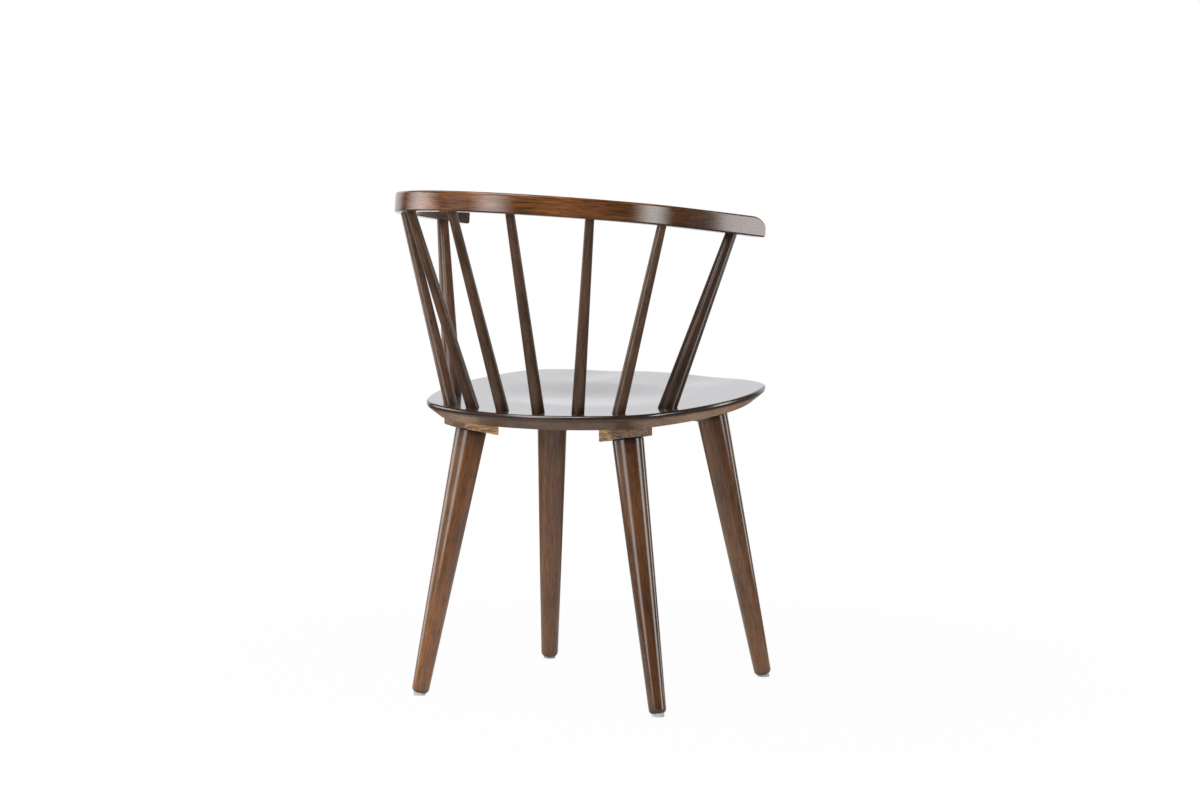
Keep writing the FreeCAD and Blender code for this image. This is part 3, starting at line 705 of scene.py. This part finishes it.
def stretched_noise(tree, place, pattern, along=2):
    """Noise of a pattern, drawn out along the fibre, which runs along one axis."""
    scale, stretch, detail, distortion = pattern
    scales = [scale, scale, scale]
    scales[along] = scale * stretch
    mapped = add_node(tree, "Mapping", Vector=place, Scale=scales)
    noise = add_node(tree, "TexNoise", Vector=mapped.outputs["Vector"], Scale=1.0, Detail=detail,
                     Roughness=0.55, Distortion=distortion)
    return noise.outputs["Fac"]


def combine(tree, kind, a, b):
    """Two values joined by one operation, such as a sum, a product or the greater of them."""
    node = add_node(tree, "Math", operation=kind)
    for socket, value in zip(node.inputs, (a, b)):
        feed(tree, socket, value)
    return node.outputs["Value"]


def weighed(tree, *parts, base=0.0):
    """A base plus each value times its share."""
    for value, share in parts:
        base = combine(tree, "ADD", base, combine(tree, "MULTIPLY", value, share))
    return base


def levels(tree, value, start, end, low=0.0, high=1.0, kind="LINEAR"):
    """A value's run from start to end turned into one from low to high, held beyond them."""
    node = add_node(tree, "MapRange", Value=value, From_Min=start, From_Max=end,
                    To_Min=low, To_Max=high, interpolation_type=kind)
    return node.outputs["Result"]


def ramp(tree, value, stops):
    """A colour ramp through (place, linear colour) stops."""
    node = add_node(tree, "ValToRGB", Fac=value)
    elements = node.color_ramp.elements
    while len(elements) < len(stops):
        elements.new(0.5)
    for element, (place, colour) in zip(elements, stops):
        element.position = place
        element.color = (*colour, 1.0)
    return node.outputs["Color"]


def blend(tree, share, a, b, data_type="FLOAT", blend_type="MIX"):
    """A value or colour that runs from a to b, or to their product, as a share runs from 0 to 1."""
    node = add_node(tree, "Mix", data_type=data_type, blend_type=blend_type)
    first, result = (2, 0) if data_type == "FLOAT" else (6, 2)
    for index, value in ((0, share), (first, a), (first + 1, b)):
        feed(tree, node.inputs[index], value)
    return node.outputs[result]


def tinted(tree, colour, amount, shade):
    """A colour multiplied by a shade, by an amount."""
    return blend(tree, amount, colour, (*shade, 1.0), "RGBA", "MULTIPLY")


def stained_wood(name, stain, coat, coat_roughness=0.11, coat_ior=1.5, contrast=1.0, shine=0.15):
    """Lacquered wood in one stain: broad figure, streaks along the fibre and dark pores under a clear coat.

    The piece's tone, which holds painted light in places, lightens or darkens the stain, and gathered stain
    and painted shade darken it.
    """
    darkest, lightest, reach = 0.42, 1.75, 0.16 / contrast
    pore_depth, pore_shade, stain_and_shade_tint = 0.65, (0.30, 0.24, 0.20), (0.12, 0.10, 0.09)
    material, tree, surface = new_finish(name)
    place, gather, tone = (add_node(tree, "Attribute", attribute_name=layer).outputs[kind]
                           for layer, kind in (("grain", "Vector"), ("gather", "Fac"), ("tone", "Fac")))
    broad, figure, fibre, dots = (stretched_noise(tree, place, pattern) for pattern in WOOD_PATTERNS)
    pores = levels(tree, dots, *PORE_EDGES)
    shade = weighed(tree, (broad, 0.40), (figure, 0.22), (fibre, 0.38))
    dark = tuple(channel * darkest for channel in stain)
    light = tuple(min(1.0, channel * lightest) for channel in stain)
    colour = ramp(tree, shade, [(0.5 - reach, dark), (0.5, tuple(stain)), (0.5 + reach, light)])
    graded = add_node(tree, "VectorMath", operation="SCALE", Vector=colour, Scale=tone)
    pored = tinted(tree, graded.outputs["Vector"], weighed(tree, (pores, pore_depth)), pore_shade)
    relief = weighed(tree, (fibre, 0.4), (pores, -1.0))
    bump = add_node(tree, "Bump", Height=relief, Strength=0.12, Distance=0.0003)
    # gathered stain and painted shade darken the colour
    set_inputs(tree, surface, Base_Color=tinted(tree, pored, gather, stain_and_shade_tint),
               Roughness=weighed(tree, (fibre, 0.18), base=0.24), Normal=bump.outputs["Normal"],
               Coat_Weight=coat, Coat_Roughness=coat_roughness, Coat_IOR=coat_ior, Specular_IOR_Level=shine)
    return material


def bare_wood(name, centre, turn, wash_start):
    """Block wood: pale streaks along the fibre and dark flecks, with stain washed in from the outer end.

    The block's own lengthwise line is found by turning the chair's frame about the leg's top.
    """
    fleck_depth, fleck_shade, ragged_reach, wash_edge = 0.75, (0.34, 0.24, 0.17), 0.030, 0.008
    finish = settings("finish")
    material, tree, surface = new_finish(name)
    seen = add_node(tree, "TexCoord").outputs["Object"]
    lie = add_node(tree, "Mapping", vector_type="TEXTURE", Vector=seen, Location=centre,
                   Rotation=(0.0, 0.0, turn))
    place = lie.outputs["Vector"]
    streaks, clouds, dots = (stretched_noise(tree, place, pattern, along=0) for pattern in BLOCK_PATTERNS)
    flecks = levels(tree, dots, *FLECK_EDGES)
    pale = ramp(tree, streaks, [(0.32, finish.bare_dark), (0.60, finish.bare)])
    flecked = tinted(tree, pale, weighed(tree, (flecks, fleck_depth)), fleck_shade)
    outward = add_node(tree, "SeparateXYZ", Vector=place).outputs["X"]
    ragged = weighed(tree, (outward, 1.0), (clouds, ragged_reach))
    washed = levels(tree, ragged, wash_start, wash_start + wash_edge)
    relief = weighed(tree, (streaks, 1.0), (flecks, -1.0))
    bump = add_node(tree, "Bump", Height=relief, Strength=0.25, Distance=0.0004)
    set_inputs(tree, surface, Base_Color=tinted(tree, flecked, washed, finish.wash), Roughness=0.62,
               Normal=bump.outputs["Normal"])
    return material


def small_part(name, colour, metallic, roughness, scale):
    """Moulded nylon or plated steel: one colour and roughness, broken by fine cloudy wear."""
    material, tree, surface = new_finish(name)
    seen = add_node(tree, "TexCoord").outputs["Object"]
    cloud = stretched_noise(tree, seen, (scale, 1.0, 3.0, 0.3))
    wear_and_highlight = tuple(channel * 0.72 for channel in colour)
    set_inputs(tree, surface, Base_Color=ramp(tree, cloud, [(0.35, wear_and_highlight), (0.6, tuple(colour))]),
               Roughness=weighed(tree, (cloud, 0.25), base=roughness), Metallic=metallic)
    return material


def stand_for(piece, node, *materials):
    """Finish a piece, let it ride on the chair and take the place of its node."""
    for material in materials:
        piece.data.materials.append(material)
    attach(piece, "root")
    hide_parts(node)


def repaint(node, material):
    """Give a node of the frame a finished material."""
    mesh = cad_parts[node].data
    mesh.materials.clear()
    mesh.materials.append(material)


class ARMCHAIR_OT_seat(Operator):
    """Make the saddled seat board"""
    bl_idname = "armchair.seat"
    bl_label = "Seat"

    def execute(self, context):
        finish = settings("finish")
        rings, gather, bevel_end, band_end = seat_rings()
        piece = skin("seat_board", from_seat(rings), rings[..., [0, 2, 1]], gather, seat_painted_light(rings))
        stand_for(piece, "seat",
                  stained_wood("seat_stain", finish.seat, 1.0, 0.10, 1.7, shine=0.5),
                  stained_wood("seat_band_stain", finish.seat, 1.0, 0.17, 2.0, shine=0.0),
                  stained_wood("seat_edge_stain", finish.seat_edge, 0.3))
        top, band, bevel = range(3)
        rows, columns = rings.shape[:2]
        row = np.arange(rows - 1)
        kind = np.where(row < bevel_end, bevel, np.where(row < band_end, band, top))
        sheet = np.repeat(np.concatenate([kind, [bevel, top]]), columns)
        piece.data.polygons.foreach_set("material_index", sheet.astype(np.int32))
        return {"FINISHED"}


class ARMCHAIR_OT_rail(Operator):
    """Make the bent bow rail"""
    bl_idname = "armchair.rail"
    bl_label = "Bow rail"

    def execute(self, context):
        colour = settings("finish").rail
        stain = stained_wood("rail_stain", colour, 1.0, 0.115, 1.7, contrast=1.6, shine=0.0)
        rings, grain, on_edge = rail_rings()
        gather, tone = rail_shades(grain[..., 2], on_edge)
        stand_for(skin("bow_rail", from_rail(rings), grain + RAIL_WOOD, gather, tone), "back_rail", stain)
        return {"FINISHED"}


class ARMCHAIR_OT_spindles(Operator):
    """Turn the back spindles and the arm posts"""
    bl_idname = "armchair.spindles"
    bl_label = "Spindles and posts"

    def execute(self, context):
        stain = stained_wood("spindle_stain", settings("finish").spindles, 0.7, 0.085)
        seat_up = turn_x(-settings("seat").tilt) @ UP
        rail_up = turn_x(settings("rail").tilt) @ UP
        for number, node, flip, (foot, place, base, top) in each_side(spindle_ends()):
            head, _ = rail_line(flip[:1] * place)
            start = from_seat(np.array(foot) * flip)
            end = from_rail([*head[0], 0])
            profile = taper(base, top)
            rings, grain = turned_rings(start, end, profile, seat_up, rail_up)
            # painted shade at the foot on the seat and at the head under the rail
            gather = painted_shade_along(profile[:, 0], SPINDLE_PAINTED_SHADE)
            tone = SPINDLE_TONES.get(node, 1.0)
            piece = skin("turned_" + node, rings, grain + SPINDLE_WOOD * number, gather, tone)
            stand_for(piece, node, stain)
        return {"FINISHED"}


class ARMCHAIR_OT_legs(Operator):
    """Turn the four splayed legs"""
    bl_idname = "armchair.legs"
    bl_label = "Legs"

    def execute(self, context):
        stain = stained_wood("leg_stain", settings("finish").legs, 0.9, 0.085, 1.65)
        for number, node, flip, (foot, top) in each_side(leg_ends()):
            axis = unit((top - foot) * flip)
            start = foot * flip + axis * settings("legs").glide
            profile = leg_profile(np.linalg.norm(top - foot))
            rings, grain = turned_rings(start, top * flip, profile, axis, axis)
            # painted shade at the top under the block and at the foot on its glide
            gather = painted_shade_along(profile[:, 0], LEG_PAINTED_SHADE)
            tone = np.interp(profile[:, 0], (0, 1), LEG_TONES[node])
            piece = skin("turned_" + node, rings, grain + LEG_WOOD * number, gather, tone)
            stand_for(piece, node, stain)
        return {"FINISHED"}


class ARMCHAIR_OT_blocks(Operator):
    """Finish the wedge blocks"""
    bl_idname = "armchair.blocks"
    bl_label = "Leg blocks"

    def execute(self, context):
        for _, leg, flip, (foot, top) in each_side(leg_ends()):
            node = leg.replace("leg_", "leg_block_")
            out = (foot - top) * flip
            turn = math.atan2(out[1], out[0])
            repaint(node, bare_wood(node + "_wood", top * flip, turn, WASH_STARTS[leg]))
        return {"FINISHED"}


class ARMCHAIR_OT_small_parts(Operator):
    """Finish the glides and the steel fasteners"""
    bl_idname = "armchair.small_parts"
    bl_label = "Glides and fasteners"

    def execute(self, context):
        finish = settings("finish")
        nylon = small_part("glide_nylon", finish.nylon, 0.0, 0.42, 260.0)
        zinc = small_part("fastener_zinc", finish.zinc, 1.0, 0.26, 420.0)
        for node in ("glide_rear", "glide_front"):
            for side, _ in SIDES:
                repaint("%s_%s" % (node, side), nylon)
        for node in ("glide_nails", "hanger_bolts", "threaded_inserts", "block_screws"):
            repaint(node, zinc)
        return {"FINISHED"}


class ARMCHAIR_OT_stage(Operator):
    """Set the camera, the studio light and the floor"""
    bl_idname = "armchair.stage"
    bl_label = "Stage"

    def execute(self, context):
        place_camera(context.scene)
        lay_floor()
        light_world(context.scene)
        hang_lamps()
        context.scene.view_settings.view_transform = "Standard"
        return {"FINISHED"}


def camera_side(swing, rise):
    """The direction from the chair that lies a swing to the right of the camera's side, at a rise."""
    at = settings("stage").camera_turn + swing
    flat = math.cos(rise)
    return Vector((math.sin(at) * flat, -math.cos(at) * flat, math.sin(rise)))


def aim_at_chair(name, data, away, distance):
    """A camera or lamp that stands at a distance from the stage's aim and looks back at it."""
    item = add_object(name, data)
    item.location = Vector(settings("stage").aim) + away * distance
    item.rotation_euler = (-away).to_track_quat("-Z", "Y").to_euler()
    return item


def place_camera(scene):
    """The camera looks at its aim from a turn and a rise, level with the horizon."""
    stage = settings("stage")
    data = bpy.data.cameras.new("camera")
    data.sensor_fit = "HORIZONTAL"
    data.sensor_width = 36.0
    data.lens = stage.lens
    data.clip_end = 200.0
    away = camera_side(0.0, stage.camera_rise)
    scene.camera = aim_at_chair("camera", data, away, stage.camera_distance)


def ray_kinds(tree):
    """Two values: 1 for rays straight from the camera or through glass, and 1 for reflected rays."""
    path = add_node(tree, "LightPath").outputs
    straight = combine(tree, "MAXIMUM", path["Is Camera Ray"], path["Is Transmission Ray"])
    return straight, path["Is Glossy Ray"]


def behind_chair(tree, place):
    """1 for places or directions straight behind the chair in the picture, falling to 0 to the sides."""
    direction = add_node(tree, "VectorMath", operation="NORMALIZE", Vector=place).outputs["Vector"]
    toward = add_node(tree, "VectorMath", operation="DOT_PRODUCT", Vector=direction)
    toward.inputs[1].default_value = -camera_side(0.0, 0.0)
    return levels(tree, toward.outputs["Value"], *BACKDROP_EDGES, kind="SMOOTHSTEP")


def lay_floor():
    """A wide floor of pale paper that the camera sees as white, with a trace of the chair's soft shadow.

    In reflections it glows by itself: bright near the chair, dim further out, and bright again far behind,
    where it runs into the backdrop. To all other rays it is plain lit paper.
    """
    stage = settings("stage")
    half = stage.floor_size / 2
    mesh = bpy.data.meshes.new("floor")
    corners = [(x * half, y * half, 0) for x, y in ((-1, -1), (1, -1), (1, 1), (-1, 1))]
    mesh.from_pydata(corners, [], [(0, 1, 2, 3)])
    material, tree, surface = new_finish("floor_paper")
    set_inputs(tree, surface, Base_Color=(*stage.floor_tint, 1.0), Roughness=0.9, Specular_IOR_Level=0.0)
    place = add_node(tree, "TexCoord").outputs["Object"]
    reach = add_node(tree, "VectorMath", operation="LENGTH", Vector=place).outputs["Value"]
    straight, mirrored = ray_kinds(tree)
    shown = weighed(tree, (straight, levels(tree, reach, *FLOOR_WHITE, kind="SMOOTHSTEP")))
    far = weighed(tree, (levels(tree, reach, *FLOOR_SWEEP), behind_chair(tree, place)))
    near = levels(tree, reach, *FLOOR_NEAR, stage.floor_mirrored, stage.floor_far, kind="SMOOTHSTEP")
    paper = combine(tree, "MAXIMUM", far, near)
    glow = add_node(tree, "Emission", Strength=blend(tree, mirrored, 1.0, paper))
    mix = add_node(tree, "MixShader", Fac=combine(tree, "MAXIMUM", shown, mirrored))
    feed(tree, mix.inputs[1], surface.outputs["BSDF"])
    feed(tree, mix.inputs[2], glow.outputs["Emission"])
    set_inputs(tree, tree.nodes["Material Output"], Surface=mix.outputs["Shader"])
    mesh.materials.append(material)
    return add_object("floor", mesh)


def light_world(scene):
    """White where the camera sees it, and elsewhere a studio: a white backdrop and a dim room.

    The backdrop stands behind the chair in the picture, and falls off to the room all round. Reflections
    show both a little cooler.
    """
    stage = settings("stage")
    world = bpy.data.worlds.new("studio")
    world.use_nodes = True
    tree = world.node_tree
    straight, mirrored = ray_kinds(tree)
    backdrop = behind_chair(tree, add_node(tree, "TexCoord").outputs["Generated"])
    room = blend(tree, mirrored, stage.world_level, stage.room_level)
    lit = blend(tree, backdrop, room, 1.0)
    set_inputs(tree, tree.nodes["Background"], Color=blend(tree, mirrored, PLAIN_WHITE, COOL_WHITE, "RGBA"),
               Strength=blend(tree, straight, lit, 1.0))
    scene.world = world


def fade_sides(data, fade):
    """Let a box's light fall off smoothly towards its two sides, over a share of its half width."""
    data.use_nodes = True
    tree = data.node_tree
    place = add_node(tree, "NewGeometry").outputs["Parametric"]
    across = add_node(tree, "SeparateXYZ", Vector=place).outputs["X"]
    off_middle = combine(tree, "ABSOLUTE", combine(tree, "SUBTRACT", across, 0.5), 0.0)
    set_inputs(tree, tree.nodes["Emission"],
               Strength=levels(tree, off_middle, 0.5 - fade / 2, 0.5, 1.0, 0.0, kind="SMOOTHSTEP"))


def hang_lamps():
    """Soft boxes aimed at the chair: three to the camera's left, two to its right and a large one above."""
    for name, swing, rise, distance, size, fade, power in LAMPS:
        data = bpy.data.lights.new(name, "AREA")
        data.shape = "RECTANGLE"
        data.size, data.size_y = size
        data.energy = power
        fade_sides(data, fade)
        away = camera_side(math.radians(swing), math.radians(rise))
        aim_at_chair(name, data, away, distance).visible_camera = False


class ARMCHAIR_PT_panel(Panel):
    """Lists the armchair's pieces and their sizes"""
    bl_idname = "ARMCHAIR_PT_panel"
    bl_label = "Spindle Armchair"
    bl_space_type = "VIEW_3D"
    bl_region_type = "UI"
    bl_category = "Armchair"

    def draw(self, context):
        for operator in OPERATORS:
            self.layout.operator(operator.bl_idname)
        for name, group in GROUPS.items():
            box = self.layout.box()
            box.label(text=group.__doc__)
            for field in group.__annotations__:
                box.prop(getattr(context.scene, name), field)


OPERATORS = (
    ARMCHAIR_OT_seat,
    ARMCHAIR_OT_rail,
    ARMCHAIR_OT_spindles,
    ARMCHAIR_OT_legs,
    ARMCHAIR_OT_blocks,
    ARMCHAIR_OT_small_parts,
    ARMCHAIR_OT_stage,
)
CLASSES = tuple(GROUPS.values()) + OPERATORS + (ARMCHAIR_PT_panel,)


def register():
    for cls in CLASSES:
        bpy.utils.register_class(cls)
    for name, group in GROUPS.items():
        setattr(bpy.types.Scene, name, PointerProperty(type=group))


def unregister():
    for name in GROUPS:
        delattr(bpy.types.Scene, name)
    for cls in reversed(CLASSES):
        bpy.utils.unregister_class(cls)


def main():
    register()
    for operator in OPERATORS:
        group, name = operator.bl_idname.split(".")
        getattr(getattr(bpy.ops, group), name)()


if __name__ == "__main__":
    main()
